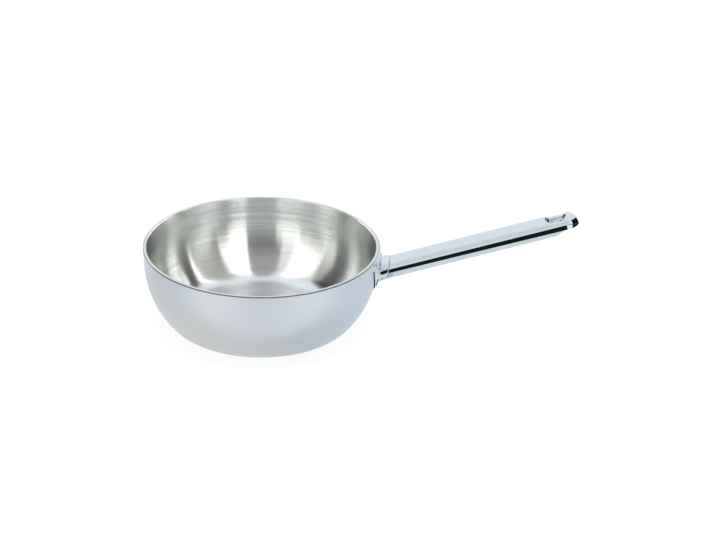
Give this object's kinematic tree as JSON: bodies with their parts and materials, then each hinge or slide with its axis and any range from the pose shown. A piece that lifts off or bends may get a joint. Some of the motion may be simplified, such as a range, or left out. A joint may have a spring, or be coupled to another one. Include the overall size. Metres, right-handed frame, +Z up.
{
  "type": "saucier pan",
  "caption": "Round-sided clad steel pan with a flat base, a cut rim and one long tubular handle that ends in a lined hanging slot.",
  "frame": {"origin": "on the pan's axis, on the flat underside of the base, where the pan stands", "axes": "+Z up along the pan's axis, out of its mouth; +X along the handle, seen from above"},
  "size_m": [0.3796, 0.206, 0.1055],
  "materials": {
    "inner_satin_steel": "fine circular brushing",
    "outer_satin_steel": "even satin",
    "core_aluminium": "cut and brushed at the rim",
    "bond_aluminium": "cut and brushed at the rim",
    "polished_steel": "polished",
    "weld_metal": "ground"
  },
  "bodies": {
    "root": {"cooking_skin": "inner_satin_steel", "inner_bond_sheet": "bond_aluminium", "heat_core": "core_aluminium", "outer_bond_sheet": "bond_aluminium", "outer_skin": "outer_satin_steel", "handle_bracket": "polished_steel", "bracket_spot_welds": "weld_metal", "neck_weld": "weld_metal", "handle_tube": "polished_steel", "end_plate": "polished_steel", "slot_liner": "polished_steel"}
  },
  "joints": []
}
